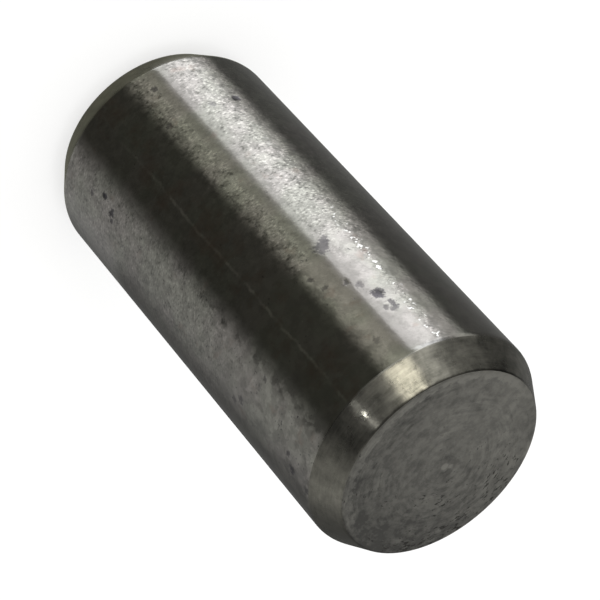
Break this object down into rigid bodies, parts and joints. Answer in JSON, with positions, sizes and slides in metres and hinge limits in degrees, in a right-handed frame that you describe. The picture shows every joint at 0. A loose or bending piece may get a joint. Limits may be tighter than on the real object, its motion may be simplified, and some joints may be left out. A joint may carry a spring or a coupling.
{
  "type": "gearshift guide pin",
  "caption": "Solid ground steel guide pin with a straight cylindrical shank, a shallow chamfer at each end and flat faced ends.",
  "frame": {"origin": "middle of the lower end face, on the pin's axis", "axes": "+Z along the pin's axis from the lower end face to the upper one; X and Y are any two directions across it"},
  "size_m": [0.01, 0.01, 0.022],
  "materials": {
    "ground_steel": "ground along the shank, turned on the chamfers and end faces"
  },
  "bodies": {
    "root": {"guide_pin": "ground_steel"}
  },
  "joints": []
}
